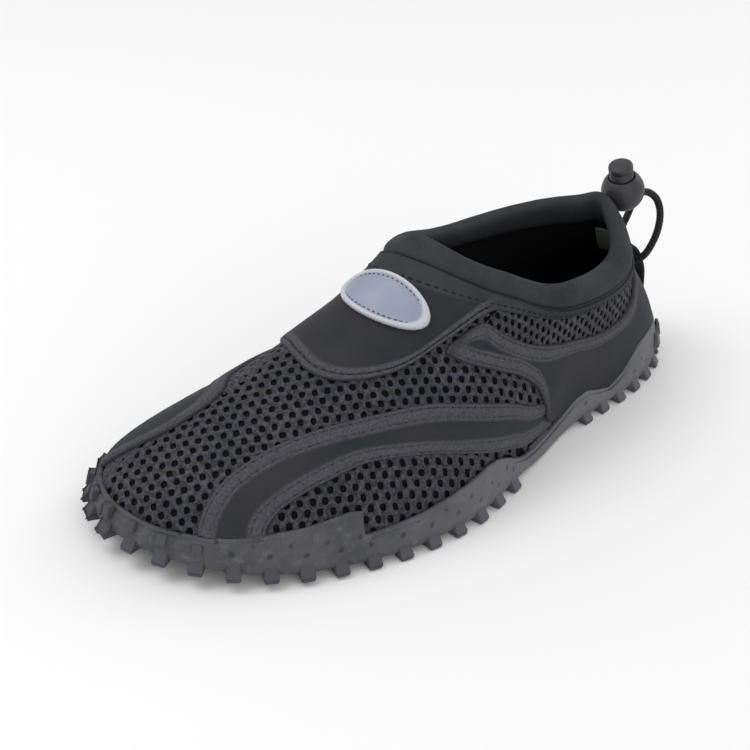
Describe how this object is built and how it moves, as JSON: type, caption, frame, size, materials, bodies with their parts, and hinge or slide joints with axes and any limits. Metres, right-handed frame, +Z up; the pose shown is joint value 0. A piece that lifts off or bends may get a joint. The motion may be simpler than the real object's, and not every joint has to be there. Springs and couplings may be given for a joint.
{
  "type": "water shoe",
  "caption": "Slip-on water shoe for the left foot with mesh vamp, smooth side panels, rolled collar, lugged rubber cup sole and a heel cord with a sprung cord lock.",
  "frame": {"origin": "on the ground plane, under the middle of the shoe without its cord", "axes": "+Z up, the toe points to -Y, the wearer's outer side is +X"},
  "size_m": [0.1134, 0.2879, 0.0937],
  "materials": {
    "sole_rubber": "moulded matte rubber",
    "insole_foam": "fabric over foam",
    "mesh_fabric": "open knitted mesh over a dark lining",
    "collar_fabric": "stretch knit over neoprene",
    "panel_fabric": "smooth coated fabric with stitched welts",
    "badge_vinyl": "soft moulded vinyl with a raised rim",
    "webbing": "woven webbing",
    "lock_plastic": "satin moulded plastic",
    "cord_elastic": "round elastic cord"
  },
  "bodies": {
    "shoe": {"outsole": "sole_rubber", "insole": "insole_foam", "upper": "mesh_fabric", "collar": "collar_fabric", "instep_patch": "panel_fabric", "side_panel_outer": "panel_fabric", "side_panel_inner": "panel_fabric", "badge": "badge_vinyl", "heel_strap": "webbing", "cord_lock_body": "lock_plastic", "drawcord": "cord_elastic"},
    "button": {"cord_lock_button": "lock_plastic"}
  },
  "joints": [
    {"name": "button_press", "type": "slide", "parent": "shoe", "child": "button", "axis": [0, 0.342, -0.9397], "range_m": [0, 0.004], "stiffness_N_per_m": 400}
  ]
}
